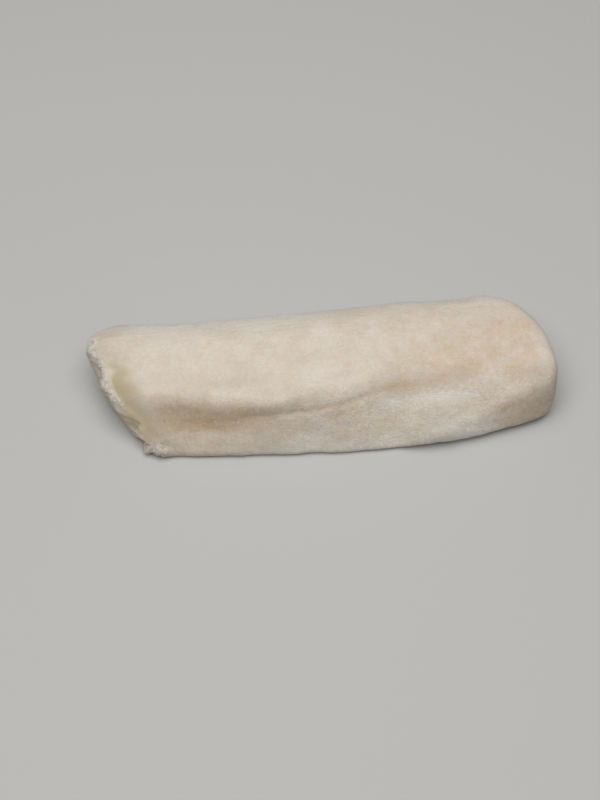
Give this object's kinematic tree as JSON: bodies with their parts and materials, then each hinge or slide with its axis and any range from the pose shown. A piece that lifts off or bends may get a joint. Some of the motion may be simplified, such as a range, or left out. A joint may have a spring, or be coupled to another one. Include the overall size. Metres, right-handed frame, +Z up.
{
  "type": "frozen cod loin",
  "caption": "Skinless boneless fillet portion of white fish, frozen, with a soft seam between two muscles and a frosty cut end; lies on its flat face",
  "frame": {"origin": "on the flat underside, at the middle of the bounding box's foot", "axes": "+X along the loin from the frosty cut end to the rounded end, +Y to the thick back edge, +Z up from the flat face"},
  "size_m": [0.1542, 0.0504, 0.0262],
  "materials": {
    "frozen_flesh": "matt, frosted and faintly translucent fish flesh"
  },
  "bodies": {
    "root": {"cod_loin": "frozen_flesh"}
  },
  "joints": []
}
